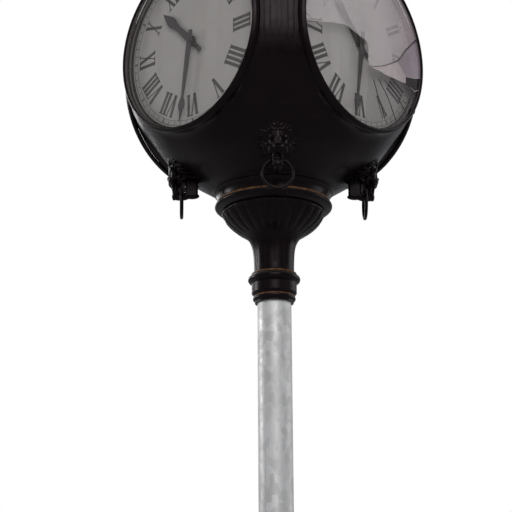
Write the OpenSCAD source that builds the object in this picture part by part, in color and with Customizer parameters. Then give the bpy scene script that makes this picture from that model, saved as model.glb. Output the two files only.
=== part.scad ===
// Four-dial street clock on a cast pedestal: a globe-shaped case with four
// short dial drums, lion-mask ring pulls, a turned neck and a tubular pole.
// Origin at the centre of the base on the ground, +Z up, dials face +-X and +-Y.

/* [Overall] */
// Height of the dial centres above the ground
dial_h = 3540; // [3300:10:3800]
// Outer radius of the pole tube
pole_r = 54; // [52:0.5:54]
// Wall thickness of the pole tube
pole_wall = 5; // [3:0.5:8]

/* [Case] */
// Wall thickness of the cast case
case_wall = 10; // [8:1:12]
// Distance from the pole axis to the front lip of a dial bezel
lip_l = 403.6; // [403:0.1:405]
// Outer radius of a dial drum
drum_r = 295; // [293:0.5:296]

/* [Dials] */
// Radius of the visible dial opening
dial_r = 286; // [284:0.5:286]
// Hour shown at rest
rest_hour = 10; // [0:1:11]
// Minute shown at rest
rest_minute = 31.5; // [0:0.5:59.5]

/* [Ring pulls] */
// Centre-line radius of a hanging ring
ring_r = 46.5; // [44:0.5:46.5]
// Radius of the ring's round bar
ring_bar = 5.5; // [4:0.25:5.5]

/* [Pedestal] */
// Pitch circle diameter of the anchor bolts
anchor_pcd = 250; // [230:5:260]
// Radius of an anchor bolt hole
anchor_r = 11; // [8:0.5:12]

/* [Hidden] */
$fn = 96;
H = dial_h;
SIDES = ["s", "e", "n", "w"];
drum_in = 285.6;
drum_l = 380.65;
hinge_up = 309.4;
hinge_l = 386.65;
dial_l = 368.4;
case_bot = -417;
min_ang = rest_minute*6;
hour_ang = (rest_hour + rest_minute/60)*30;
ring_rho = 297;
ring_z = -403;

black = "#17120f";
gold = "#9a6a2e";
steel = "#b9bcbd";
brass = "#b08d4a";

// ---------- placing helpers ----------
// Face i: local x to the viewer's right, local y up, local z outward.
module face(i) translate([0, 0, H]) rotate([0, 0, 90*i]) rotate([90, 0, 0]) children();
// Corner i: local x outward along the diagonal, local z up, at dial height.
module corner(i) translate([0, 0, H]) rotate([0, 0, 225 + 90*i]) children();
module ring(r1, r2, z1, z2) translate([0, 0, z1]) difference() {
  cylinder(r = r2, h = z2 - z1);
  translate([0, 0, -1]) cylinder(r = r1, h = z2 - z1 + 2);
}
module disc(r, z1, z2) translate([0, 0, z1]) cylinder(r = r, h = z2 - z1);
module box(x1, x2, y1, y2, z1, z2) translate([x1, y1, z1]) cube([x2 - x1, y2 - y1, z2 - z1]);

// ---------- pedestal ----------
module base_shell() rotate_extrude() polygon([
  [235, 0], [235, 40], [228, 50], [222, 54], [222, 100], [214, 112], [196, 128], [182, 140], [170, 150],
  [168, 158], [176, 166], [176, 178], [168, 186], [158, 194], [150, 210], [150, 640], [156, 648], [156, 660],
  [168, 668], [172, 680], [168, 692], [150, 704], [128, 730], [110, 770], [98, 820], [90, 880], [86, 916],
  [92, 924], [92, 944], [84, 952], [74, 960], [70, 990], [70, 1010], [pole_r + 0.4, 1010],
  [pole_r + 0.4, 950], [70, 930], [76, 880], [86, 820], [98, 765], [116, 722], [138, 694], [141, 640],
  [141, 215], [150, 190], [158, 140], [184, 112], [206, 90], [206, 0]]);

module base_casting() color(black) difference() {
  union() {
    base_shell();
    // hinge knuckles for the access door
    for (z = [320, 520]) for (s = [-30, 15.5]) {
      translate([-60, -146, z + s]) cylinder(r = 6.5, h = 14.5);
      box(-78, -60, -151, -129, z + s, z + s + 14.5);
    }
  }
  box(-55, 55, -170, -100, 270, 570);
  for (z = [320, 520]) translate([-60, -146, z - 32]) cylinder(r = 3, h = 64);
  translate([0, 0, 100]) cylinder(r = 141, h = 500);
}

module foot_plate() color(steel) difference() {
  union() {
    ring(pole_r, 165, 0, 20);
    for (a = [0:90:270]) rotate([0, 0, a]) translate([pole_r - 1, -5, 18]) rotate([90, 0, 0])
      translate([0, 0, -10]) linear_extrude(10) polygon([[0, 0], [70, 0], [70, 20], [20, 130], [0, 130]]);
  }
  for (a = [45:90:315]) rotate([0, 0, a]) translate([anchor_pcd/2, 0, -1]) cylinder(r = anchor_r, h = 30);
  translate([0, 0, -1]) cylinder(r = pole_r, h = 200);
}

module base_door() color(black) difference() {
  union() {
    intersection() {
      ring(141, 150, 270.8, 569.2);
      box(-54, 53.4, -160, -100, 270.8, 569.2);
    }
    // raised panel
    intersection() {
      ring(149, 152.5, 300, 540);
      box(-30, 24, -170, -100, 300, 540);
    }
    for (z = [320, 520]) {
      translate([-60, -146, z - 15]) cylinder(r = 6.5, h = 30);
      box(-60, -40, -152, -143, z - 15, z + 15);
    }
    // lock boss
    translate([38, -138, 420]) rotate([90, 0, 0]) cylinder(r = 12, h = 13);
  }
  for (z = [320, 520]) translate([-60, -146, z - 20]) cylinder(r = 3.06, h = 40);
  translate([38, -100, 420]) rotate([90, 0, 0]) cylinder(r = 8.05, h = 60);
}

module door_lock() color(brass) {
  translate([38, -100, 420]) rotate([90, 0, 0]) difference() {
    cylinder(r = 8, h = 54);
    translate([-1.2, -5, 51]) cube([2.4, 10, 4]);
  }
  // cam, pointing up when unlocked
  box(33, 43, -104, -100, 420, 450);
}

module door_hinge_pins() color(steel)
  for (z = [320, 520]) translate([-60, -146, z - 32]) cylinder(r = 3, h = 64);

// ---------- pole, collar, neck ----------
module pole() color("#b4b4b2") ring(pole_r - pole_wall, pole_r, 20, H - 505);

module pole_collar() color(black) translate([0, 0, H]) difference() {
  rotate_extrude() polygon([
    [pole_r + 0.3, -683.2], [65, -683.2], [72, -685], [73, -688], [72, -691], [75, -694], [81, -699], [83.5, -706],
    [81, -713], [75, -718], [72, -722], [72, -752], [68, -756], [65, -760], [67.5, -764], [68, -768],
    [67, -773], [62, -777], [62, -783], [pole_r + 0.3, -783]]);
  for (a = [30, 150, 270]) rotate([0, 0, a]) translate([50, 0, -738]) rotate([0, 90, 0]) cylinder(r = 5, h = 40);
}

module collar_setscrews() color(steel) translate([0, 0, H])
  for (a = [30, 150, 270]) rotate([0, 0, a]) translate([pole_r, 0, -738]) rotate([0, 90, 0]) difference() {
    cylinder(r = 5, h = 18.5);
    translate([0, 0, 14]) cylinder(r = 2.6, h = 6, $fn = 6);
  }

module neck_casting() color(black) translate([0, 0, H]) difference() {
  rotate_extrude() polygon([
    [60, -417.2], [139.5, -417.2], [139.5, -480.2], [164, -480.2], [167, -488], [164, -496], [158, -506], [150, -516],
    [134, -533], [114, -548], [98, -558], [86, -566], [79, -577], [72, -592], [68, -612], [65.5, -640],
    [64, -668], [64, -683], [pole_r + 0.3, -683], [pole_r + 0.3, -560], [98, -535], [122, -505], [125, -480],
    [125, -430], [60, -430]]);
  for (a = [30:60:330]) rotate([0, 0, a]) translate([92, 0, -440]) cylinder(r = 6.5, h = 30);
}

module neck_bolts() color(steel) translate([0, 0, H])
  for (a = [30:60:330]) rotate([0, 0, a]) translate([92, 0, 0]) {
    disc(6, -446, -407);
    translate([0, 0, -407]) cylinder(r = 10.9, h = 8, $fn = 6);
    difference() {
      translate([0, 0, -440]) cylinder(r = 10.9, h = 10, $fn = 6);
      disc(6, -450, -420);
    }
  }

module support_ring() color(black) translate([0, 0, H]) rotate_extrude() polygon([
  [140, -417.2], [194, -417.2], [190, -420], [186, -425], [183.5, -431], [182, -438], [181.5, -445],
  [182, -448], [185, -451], [183.5, -454], [187, -457], [190, -462], [188, -468], [182.5, -473],
  [174, -477], [166, -480], [140, -480]]);

// ---------- case ----------
// Outline of the globe: d is the wall allowance at the sides, e at the floor and crown
function under(d) = [[194 - 2*d, -409], [210 - 2*d, -400], [226 - 2*d, -390], [248 - 2*d, -376], [275 - 2*d, -359],
  [310 - 1.5*d, -335], [342 - 1.2*d, -303], [373 - d, -265], [403 - d, -222], [432 - d, -182], [452 - d, -147],
  [468 - d, -105], [477 - d, -57]];
function over(d) = [[480 - d, 0], [477 - d, 57], [468 - d, 105], [452 - d, 147], [432 - d, 182], [404 - d, 222],
  [378 - d, 267], [355 - d, 303], [328 - d, 338], [300 - d, 376], [282 - d, 400]];
module globe_solid(d, e) rotate_extrude() polygon(concat(
  [[0, -(417 - e)], [187 - 1.5*d, -(417 - e)]], [for (q = under(d)) if (q[1] > -(416 - e)) q], over(d),
  [[274 - d, 410 - e/2], [268 - d, 417 - e], [0, 417 - e]]));

module head_case() color(black) {
  difference() {
    translate([0, 0, H]) union() {
      globe_solid(0, 0);
      for (a = [0, 90, 180, 270]) rotate([0, 0, a]) rotate([90, 0, 0]) cylinder(r = drum_r, h = drum_l);
    }
    translate([0, 0, H]) globe_solid(case_wall, case_wall);
    for (i = [0:3]) face(i) { disc(drum_in, 200, 500); disc(340, drum_l, 500); }
    // cap opening, bolt holes and wiring hole in the floor
    translate([0, 0, H]) disc(200, 380, 420);
    translate([0, 0, H]) disc(60, -430, -380);
    for (a = [30:60:330]) rotate([0, 0, a]) translate([92, 0, H - 425]) cylinder(r = 6.5, h = 30);
  }
  // seats behind the dial plates and knuckles for the bezel doors
  for (i = [0:3]) face(i) {
    ring(272.6, drum_in + 2, 356, 364.4);
    for (s = [-1, 1]) for (o = [36, 64]) {
      difference() {
        union() {
          translate([s*o - 5.5, hinge_up, hinge_l]) rotate([0, 90, 0]) cylinder(r = 7, h = 11);
          box(s*o - 5.5, s*o + 5.5, 302.9, 316.4, 360.6, hinge_l);
          box(s*o - 5.5, s*o + 5.5, 285.5, 305.4, 360.6, 380.1);
        }
        translate([s*o - 10, hinge_up, hinge_l]) rotate([0, 90, 0]) cylinder(r = 4, h = 20);
      }
    }
  }
}

module dome_cap() color(black) translate([0, 0, H]) rotate_extrude() polygon([
  [0, 575], [54, 575], [58, 570], [58, 564], [64, 556], [78, 548], [104, 538], [140, 522], [172, 502], [198, 478],
  [214, 456], [222, 444], [234, 442], [240, 436], [246, 434], [250, 428], [250, 422], [246, 417.2], [199.5, 417.2],
  [199.5, 399], [189, 399], [189, 440], [178, 466], [158, 488], [130, 508], [98, 524], [60, 536], [0, 540]]);

module finial() color(black) translate([0, 0, H]) rotate_extrude() polygon([
  [0, 575.2], [44, 575.2], [50, 580], [50, 586], [42, 592], [28, 600], [21, 612], [22, 622], [34, 630], [44, 642],
  [48, 656], [46, 670], [38, 684], [26, 694], [16, 702], [13, 708], [18, 713], [18, 719], [12, 725], [9, 740],
  [6, 770], [3, 796], [0, 802]]);

// ---------- lion masks and rings ----------
module mask_solid() difference() {
  union() {
    translate([312, 0, -326]) sphere(r = 45);
    translate([314, 0, -364]) sphere(r = 31);
    translate([288, 0, -351]) sphere(r = 34);
    for (s = [-1, 1]) {
      translate([322, s*15, -371]) sphere(r = 18);
      translate([330, s*35, -294]) sphere(r = 11);
      translate([306, s*28, -352]) sphere(r = 24);
    }
    // lower jaw, and the lug in the mouth that carries the ring
    translate([316, -16, -419]) rotate([-90, 0, 0]) cylinder(r = 9.5, h = 32);
    box(298, 316, -6, 6, -425, -411);
    box(284, 312, -6, 6, -418, -376);
  }
  translate([ring_rho, -20, ring_z]) rotate([-90, 0, 0]) cylinder(r = 6.5, h = 40);
  globe_solid(-0.2, -0.2);
  // open mouth either side of the lug
  for (s = [-1, 1]) translate([0, s > 0 ? 6 : -56, -409.5]) translate([270, 0, 0]) cube([90, 50, 13.5]);
}

module lion_masks() color(black) for (i = [0:3]) corner(i) mask_solid();

module lion_ring(i) color(black) corner(i) translate([ring_rho, 0, ring_z - ring_r]) rotate([0, 90, 0])
  rotate_extrude() translate([ring_r, 0]) circle(r = ring_bar, $fn = 32);

// ---------- dials ----------
module dial_plates() color("#b9b2a9") for (i = [0:3]) face(i) ring(13, 284.6, dial_l - 4, dial_l);
module dial_rings() color(black) for (i = [0:3]) face(i) ring(277.6, 285.2, dial_l, dial_l + 5);
module bezel_hinge_pins() color(steel) for (i = [0:3]) face(i) for (s = [-1, 1])
  translate([s*50 - 20, hinge_up, hinge_l]) rotate([0, 90, 0]) cylinder(r = 4, h = 40);

module bezel(i) color(black) face(i) difference() {
  union() {
    rotate_extrude() polygon([[dial_r, 398.45], [dial_r, 400.9], [288, lip_l - 0.6], [290.6, lip_l], [294.6, lip_l - 1.4], [298.4, 397],
      [300.4, 391], [300.4, 381.05], [293.5, 381.05], [293.5, 398.45]]);
    for (s = [-50, 50]) {
      translate([s - 8, hinge_up, hinge_l]) rotate([0, 90, 0]) cylinder(r = 7, h = 16);
      box(s - 8, s + 8, 292.6, hinge_up, 381.05, 392.6);
    }
  }
  for (s = [-50, 50]) translate([s - 10, hinge_up, hinge_l]) rotate([0, 90, 0]) cylinder(r = 4.06, h = 20);
}

module glazing_seal(i) color("#0d0d0d") face(i) difference() {
  ring(dial_r, 293.4, 388.25, 398.35);
  disc(291.05, 391.25, 395.25);
}
module glass(i) color("#c8c6cc", 0.35) face(i) disc(290.95, 391.3, 395.2);

// ---------- hands ----------
// Outlines point to twelve; each row is [height, half width]
function blade(v) = concat([for (p = v) [p[1], p[0]]], [for (i = [len(v) - 1:-1:0]) [-v[i][1], v[i][0]]]);
module minute_hand(i) color("#1c1a19") face(i) rotate([0, 0, -min_ang]) difference() {
  union() {
    translate([0, 0, 385]) linear_extrude(2.5) polygon(blade([[-36, 5], [-31, 8.5], [0, 10.5], [40, 11],
      [110, 8.5], [184, 5.2], [190, 6.5], [204, 13], [212, 14.5], [223, 11], [240, 4.8], [265, 0.6]]));
    disc(13, 383.5, 389);
  }
  disc(4.5, 370, 400);
}
module hour_hand(i) color("#1c1a19") face(i) rotate([0, 0, -hour_ang]) difference() {
  union() {
    translate([0, 0, 375]) linear_extrude(2.5) polygon(blade([[-60, 7], [-52, 10.5], [-20, 10], [0, 12], [50, 11.5],
      [98, 9.5], [108, 12], [121, 18.5], [131, 20], [142, 17], [158, 9.5], [172, 4.6], [187, 0.8]]));
    disc(18, 374, 379);
  }
  disc(8, 360, 390);
}

// ---------- motion work ----------
// Straight-flanked spur gear of n teeth and pitch radius p, first tooth at angle a
module gear(n, p, h, a) {
  m = 2*p/n;
  linear_extrude(h) rotate(a) polygon([for (k = [0:n - 1]) for (t = [[p - 1.15*m, -0.29], [p - 0.2*m, -0.19], [p + 0.75*m, -0.1],
    [p + 0.75*m, 0.1], [p - 0.2*m, 0.19], [p - 1.15*m, 0.29]]) [t[0]*cos((k + t[1])*360/n), t[0]*sin((k + t[1])*360/n)]]);
}
module minute_arbor(i) color(steel) face(i) {
  disc(4.5, 302, 389.6);
  difference() {
    translate([0, 0, 329]) gear(12, 10, 8, -90);
    disc(4.4, 320, 340);
  }
}
module idler_wheel(i) color(brass) face(i) translate([0, -40, 0]) difference() {
  union() {
    translate([0, 0, 330]) gear(36, 30, 5, 95);
    disc(6.2, 324, 352.5);
    translate([0, 0, 342]) gear(10, 8, 8.5, 90);
  }
  disc(4.06, 320, 360);
}
module hour_wheel(i) color(brass) face(i) difference() {
  union() {
    translate([0, 0, 344]) gear(40, 32, 5, -90 + 4.5);
    disc(8, 344, 380);
  }
  disc(4.56, 340, 390);
}
module movement_frames() color("#8f8f8c") for (i = [0:3]) face(i) difference() {
  union() {
    for (z = [318, 354]) box(-56, 56, -86, 46, z, z + 4);
    for (x = [-46, 46]) for (y = [-76, 36]) translate([x, y, 0]) {
      disc(4.5, 320, 356);
      disc(7, 357, 364.4);
    }
    translate([0, -40, 0]) disc(4, 320, 356);
  }
  disc(12, 350, 360);
  disc(8, 316, 324);
}
module movement_bushes() color(brass) for (i = [0:3]) face(i) {
  ring(8.06, 12, 351, 362);
  ring(4.56, 8, 318, 325);
}
module movement_motors() color("#3c3f42") for (i = [0:3]) face(i) difference() {
  union() {
    disc(36, 264, 318);
    translate([-40, -30, 0]) disc(6, 310, 318);
    translate([40, -30, 0]) disc(6, 310, 318);
    box(-40, 40, -36, -24, 310, 318);
  }
  disc(5.4, 300, 330);
}

// ---------- inside the head ----------
module centre_frame() color("#6a6f73") translate([0, 0, H]) difference() {
  union() {
    disc(30, -407, 330);
    disc(76, -407, -399.2);
    for (a = [0:90:270]) rotate([0, 0, a]) rotate([90, 0, 0]) {
      box(-12, 12, -12, 12, 20, 260);
      box(-34, 34, -34, 34, 259, 264);
    }
  }
  disc(26, -420, 340);
}
module led_panels() color("#e8e6dc") translate([0, 0, H]) for (a = [45:90:315]) rotate([0, 0, a]) {
  box(100, 106, -60, 60, -240, 240);
  for (z = [-180, 180]) box(30.2, 101, -6, 6, z - 4, z + 4);
}
module control_box() color("#4a4d50") translate([0, 0, H]) {
  box(-60, 60, 42, 122, -390, -290);
  box(-14, 14, 30.2, 43, -350, -320);
  for (x = [-40, 40]) translate([x, 60, -392]) cylinder(r = 9, h = 6);
}

// ---------- one line per node ----------
base_casting();
foot_plate();
base_door();
door_lock();
door_hinge_pins();
pole();
pole_collar();
collar_setscrews();
neck_casting();
neck_bolts();
support_ring();
head_case();
dome_cap();
finial();
lion_masks();
lion_ring(0);  // lion_ring_sw
lion_ring(1);  // lion_ring_se
lion_ring(2);  // lion_ring_ne
lion_ring(3);  // lion_ring_nw
dial_plates();
dial_rings();
bezel_hinge_pins();
bezel(0);  // bezel_s
bezel(1);  // bezel_e
bezel(2);  // bezel_n
bezel(3);  // bezel_w
glazing_seal(0);  // glazing_seal_s
glazing_seal(1);  // glazing_seal_e
glazing_seal(2);  // glazing_seal_n
glazing_seal(3);  // glazing_seal_w
glass(0);  // glass_s
glass(1);  // glass_e
glass(2);  // glass_n
glass(3);  // glass_w
minute_hand(0);  // minute_hand_s
minute_hand(1);  // minute_hand_e
minute_hand(2);  // minute_hand_n
minute_hand(3);  // minute_hand_w
hour_hand(0);  // hour_hand_s
hour_hand(1);  // hour_hand_e
hour_hand(2);  // hour_hand_n
hour_hand(3);  // hour_hand_w
minute_arbor(0);  // minute_arbor_s
minute_arbor(1);  // minute_arbor_e
minute_arbor(2);  // minute_arbor_n
minute_arbor(3);  // minute_arbor_w
idler_wheel(0);  // idler_wheel_s
idler_wheel(1);  // idler_wheel_e
idler_wheel(2);  // idler_wheel_n
idler_wheel(3);  // idler_wheel_w
hour_wheel(0);  // hour_wheel_s
hour_wheel(1);  // hour_wheel_e
hour_wheel(2);  // hour_wheel_n
hour_wheel(3);  // hour_wheel_w
movement_frames();
movement_motors();
movement_bushes();
centre_frame();
led_panels();
control_box();
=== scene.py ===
import bpy, bmesh, math, random
import numpy as np
from mathutils import Matrix, Vector


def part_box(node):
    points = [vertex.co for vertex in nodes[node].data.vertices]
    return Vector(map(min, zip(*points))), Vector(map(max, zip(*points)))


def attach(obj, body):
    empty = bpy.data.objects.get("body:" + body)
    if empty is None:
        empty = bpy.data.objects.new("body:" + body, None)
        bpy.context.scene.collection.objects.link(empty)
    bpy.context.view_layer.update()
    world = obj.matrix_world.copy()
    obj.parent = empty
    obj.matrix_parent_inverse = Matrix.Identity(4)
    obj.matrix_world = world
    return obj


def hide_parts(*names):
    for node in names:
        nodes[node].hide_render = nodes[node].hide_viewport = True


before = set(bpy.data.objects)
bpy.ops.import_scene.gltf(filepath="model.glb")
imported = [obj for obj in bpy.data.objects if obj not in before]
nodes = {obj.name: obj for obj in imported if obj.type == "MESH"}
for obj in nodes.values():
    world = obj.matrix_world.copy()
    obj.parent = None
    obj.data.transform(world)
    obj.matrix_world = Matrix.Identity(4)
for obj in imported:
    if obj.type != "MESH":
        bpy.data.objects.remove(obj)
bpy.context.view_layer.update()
H = (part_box("dial_plates")[0].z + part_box("dial_plates")[1].z) / 2
MM = 0.001
SIDES = ["s", "e", "n", "w"]

# ------------------------------------------------------------------ materials
def mat_new(name):
    m = bpy.data.materials.new(name)
    m.use_nodes = True
    nt = m.node_tree
    for n in list(nt.nodes):
        nt.nodes.remove(n)
    out = nt.nodes.new("ShaderNodeOutputMaterial")
    p = nt.nodes.new("ShaderNodeBsdfPrincipled")
    nt.links.new(p.outputs[0], out.inputs[0])
    return m, nt, p

class NT:
    def __init__(self, nt): self.nt = nt; self.co = None
    def node(self, t, **k):
        n = self.nt.nodes.new(t)
        for a, b in k.items(): setattr(n, a, b)
        return n
    def link(self, a, b): self.nt.links.new(a, b)
    def coord(self):
        if self.co is None: self.co = self.node("ShaderNodeTexCoord").outputs["Object"]
        return self.co
    def scaled(self, s):
        m = self.node("ShaderNodeMapping"); m.inputs["Scale"].default_value = s
        self.link(self.coord(), m.inputs["Vector"]); return m.outputs[0]
    def noise(self, scale, detail=3.0, rough=0.5, dist=0.0, vec=None):
        n = self.node("ShaderNodeTexNoise"); n.inputs["Scale"].default_value = scale
        n.inputs["Detail"].default_value = detail; n.inputs["Roughness"].default_value = rough
        n.inputs["Distortion"].default_value = dist
        self.link(vec if vec is not None else self.coord(), n.inputs["Vector"]); return n.outputs["Fac"]
    def ramp(self, fac, stops):
        r = self.node("ShaderNodeValToRGB")
        e = r.color_ramp.elements
        while len(e) < len(stops): e.new(0.5)
        for el, (p, c) in zip(e, stops):
            el.position = p; el.color = (*c, 1) if len(c) == 3 else c
        self.link(fac, r.inputs[0]); return r.outputs[0]
    def rng(self, fac, a, b, c, d):
        r = self.node("ShaderNodeMapRange"); r.inputs[1].default_value = a; r.inputs[2].default_value = b
        r.inputs[3].default_value = c; r.inputs[4].default_value = d
        self.link(fac, r.inputs[0]); return r.outputs[0]
    def math(self, op, a, b):
        n = self.node("ShaderNodeMath", operation=op)
        for k, v in enumerate((a, b)):
            if isinstance(v, (int, float)): n.inputs[k].default_value = v
            else: self.link(v, n.inputs[k])
        return n.outputs[0]
    def mix(self, fac, a, b, mode="MIX"):
        n = self.node("ShaderNodeMix", data_type="RGBA", blend_type=mode)
        if isinstance(fac, (int, float)): n.inputs[0].default_value = fac
        else: self.link(fac, n.inputs[0])
        for k, v in ((6, a), (7, b)):
            if isinstance(v, tuple): n.inputs[k].default_value = (*v, 1)
            else: self.link(v, n.inputs[k])
        return n.outputs[2]
    def bump(self, h, strength, dist, prev=None):
        b = self.node("ShaderNodeBump"); b.inputs["Strength"].default_value = strength
        b.inputs["Distance"].default_value = dist
        self.link(h, b.inputs["Height"])
        if prev is not None: self.link(prev, b.inputs["Normal"])
        return b.outputs[0]
    def up(self):
        g = self.node("ShaderNodeNewGeometry"); s = self.node("ShaderNodeSeparateXYZ")
        self.link(g.outputs["Normal"], s.inputs[0]); return s.outputs[2]

def mat_paint(name="black_paint", dust=0.5):
    m, nt, p = mat_new(name); t = NT(nt)
    big = t.noise(3.2, 4, 0.6); mid = t.noise(26, 5, 0.62); fine = t.noise(520, 2, 0.5)
    base = t.ramp(big, [(0.3, (0.0026, 0.0015, 0.0019)), (0.7, (0.0050, 0.0030, 0.0036))])
    # chalky, faded film in patches
    base = t.mix(t.rng(mid, 0.52, 0.74, 0, 0.35), base, (0.0095, 0.0066, 0.0076))
    # grime settling on surfaces that face up, streaked by rain
    streak = t.noise(1.0, 4, 0.55, vec=t.scaled((38, 38, 2.2)))
    upf = t.rng(t.up(), 0.25, 0.95, 0, 1)
    d = t.math("MULTIPLY", upf, t.rng(streak, 0.35, 0.7, 0.15, dust))
    base = t.mix(d, base, (0.085, 0.078, 0.068))
    side = t.rng(streak, 0.60, 0.80, 0, 0.22)
    base = t.mix(side, base, (0.012, 0.0086, 0.009))
    # edges rubbed back to primer
    g = t.node("ShaderNodeNewGeometry")
    edge = t.math("MULTIPLY", t.rng(g.outputs["Pointiness"], 0.53, 0.60, 0, 1), t.rng(mid, 0.50, 0.62, 0, 0.6))
    base = t.mix(edge, base, (0.050, 0.036, 0.028))
    t.link(base, p.inputs["Base Color"])
    r = t.math("ADD", t.rng(mid, 0.3, 0.7, 0.22, 0.40), t.math("MULTIPLY", d, 0.4))
    t.link(r, p.inputs["Roughness"])
    p.inputs["Specular IOR Level"].default_value = 0.10
    p.inputs["Specular Tint"].default_value = (1.0, 0.84, 0.90, 1)
    b = t.bump(t.noise(9, 3, 0.5), 0.25, 0.004)
    b = t.bump(mid, 0.12, 0.0012, b)
    b = t.bump(fine, 0.10, 0.0003, b)
    t.link(b, p.inputs["Normal"])
    return m

def mat_gold(name="gold_line"):
    m, nt, p = mat_new(name); t = NT(nt)
    mid = t.noise(60, 4, 0.6); big = t.noise(9, 3, 0.6)
    base = t.ramp(mid, [(0.30, (0.060, 0.026, 0.011)), (0.55, (0.150, 0.068, 0.024)), (0.8, (0.26, 0.135, 0.050))])
    base = t.mix(t.rng(big, 0.54, 0.76, 0, 0.65), base, (0.050, 0.024, 0.014))
    t.link(base, p.inputs["Base Color"])
    p.inputs["Metallic"].default_value = 0.35
    t.link(t.rng(mid, 0.3, 0.7, 0.38, 0.62), p.inputs["Roughness"])
    t.link(t.bump(t.noise(260, 3, 0.6), 0.25, 0.0004), p.inputs["Normal"])
    return m

def mat_pole(name="pole_metal"):
    m, nt, p = mat_new(name); t = NT(nt)
    v = t.node("ShaderNodeTexVoronoi"); v.inputs["Scale"].default_value = 55
    t.link(t.scaled((1, 1, 0.7)), v.inputs["Vector"])
    big = t.noise(4, 4, 0.6, vec=t.scaled((3, 3, 0.6))); mid = t.noise(40, 4, 0.6)
    base = t.ramp(v.outputs["Color"], [(0.2, (0.50, 0.50, 0.495)), (0.8, (0.64, 0.64, 0.635))])
    base = t.mix(t.rng(big, 0.45, 0.75, 0, 0.45), base, (0.40, 0.40, 0.395))
    run = t.noise(1.0, 5, 0.6, vec=t.scaled((60, 60, 1.1)))
    base = t.mix(t.rng(run, 0.56, 0.74, 0, 0.55), base, (0.30, 0.295, 0.29))
    base = t.mix(t.rng(mid, 0.62, 0.8, 0, 0.3), base, (0.70, 0.70, 0.70))
    t.link(base, p.inputs["Base Color"])
    p.inputs["Metallic"].default_value = 0.45
    t.link(t.rng(mid, 0.3, 0.7, 0.40, 0.62), p.inputs["Roughness"])
    t.link(t.bump(t.noise(240, 3, 0.6), 0.15, 0.0004, t.bump(run, 0.15, 0.001)), p.inputs["Normal"])
    return m

def mat_dial(name, tone=(0.345, 0.328, 0.312)):
    m, nt, p = mat_new(name); t = NT(nt)
    a = tuple(c * 0.88 for c in tone); b = tuple(min(1, c * 1.12) for c in tone)
    base = t.ramp(t.noise(2.6, 4, 0.6), [(0.3, a), (0.7, b)])
    # rain-washed dust runs and brown spotting
    run = t.noise(1.0, 5, 0.6, vec=t.scaled((26, 26, 1.6)))
    base = t.mix(t.rng(run, 0.52, 0.78, 0, 0.35), base, tuple(c * 0.72 for c in (tone[0], tone[1] * 0.96, tone[2] * 0.90)))
    spots = t.noise(150, 3, 0.6)
    base = t.mix(t.rng(spots, 0.66, 0.76, 0, 0.30), base, (0.13, 0.11, 0.095))
    t.link(base, p.inputs["Base Color"])
    t.link(t.rng(t.noise(30, 3, 0.5), 0.3, 0.7, 0.38, 0.55), p.inputs["Roughness"])
    p.inputs["Specular IOR Level"].default_value = 0.3
    t.link(t.bump(t.noise(18, 3, 0.5), 0.08, 0.001), p.inputs["Normal"])
    return m

def mat_enamel(name, c, worn, rough=(0.35, 0.55)):
    m, nt, p = mat_new(name); t = NT(nt)
    n = t.noise(90, 4, 0.65); big = t.noise(14, 3, 0.6)
    base = t.ramp(big, [(0.3, tuple(x * 0.8 for x in c)), (0.7, tuple(min(1, x * 1.2) for x in c))])
    base = t.mix(t.rng(n, 0.56, 0.72, 0, 0.5), base, worn)
    t.link(base, p.inputs["Base Color"])
    t.link(t.rng(n, 0.3, 0.7, *rough), p.inputs["Roughness"])
    t.link(t.bump(t.noise(400, 2, 0.5), 0.12, 0.0002), p.inputs["Normal"])
    return m

def mat_metal(name, c, rough=(0.22, 0.42), metallic=1.0, brushed=(1, 1, 1)):
    m, nt, p = mat_new(name); t = NT(nt)
    n = t.noise(1.0, 4, 0.6, vec=t.scaled(tuple(140 * x for x in brushed))); big = t.noise(12, 3, 0.6)
    base = t.ramp(big, [(0.3, tuple(x * 0.78 for x in c)), (0.7, tuple(min(1, x * 1.1) for x in c))])
    base = t.mix(t.rng(n, 0.55, 0.75, 0, 0.4), base, tuple(x * 0.45 for x in c))
    t.link(base, p.inputs["Base Color"]); p.inputs["Metallic"].default_value = metallic
    t.link(t.rng(n, 0.3, 0.7, *rough), p.inputs["Roughness"])
    t.link(t.bump(n, 0.08, 0.0003), p.inputs["Normal"])
    return m

def mat_rubber(name="seal_rubber"):
    m, nt, p = mat_new(name); t = NT(nt)
    n = t.noise(70, 4, 0.6)
    t.link(t.ramp(n, [(0.3, (0.060, 0.050, 0.050)), (0.8, (0.10, 0.086, 0.085))]), p.inputs["Base Color"])
    t.link(t.rng(n, 0.3, 0.7, 0.6, 0.8), p.inputs["Roughness"])
    t.link(t.bump(t.noise(300, 2, 0.5), 0.2, 0.0002), p.inputs["Normal"])
    return m

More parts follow.
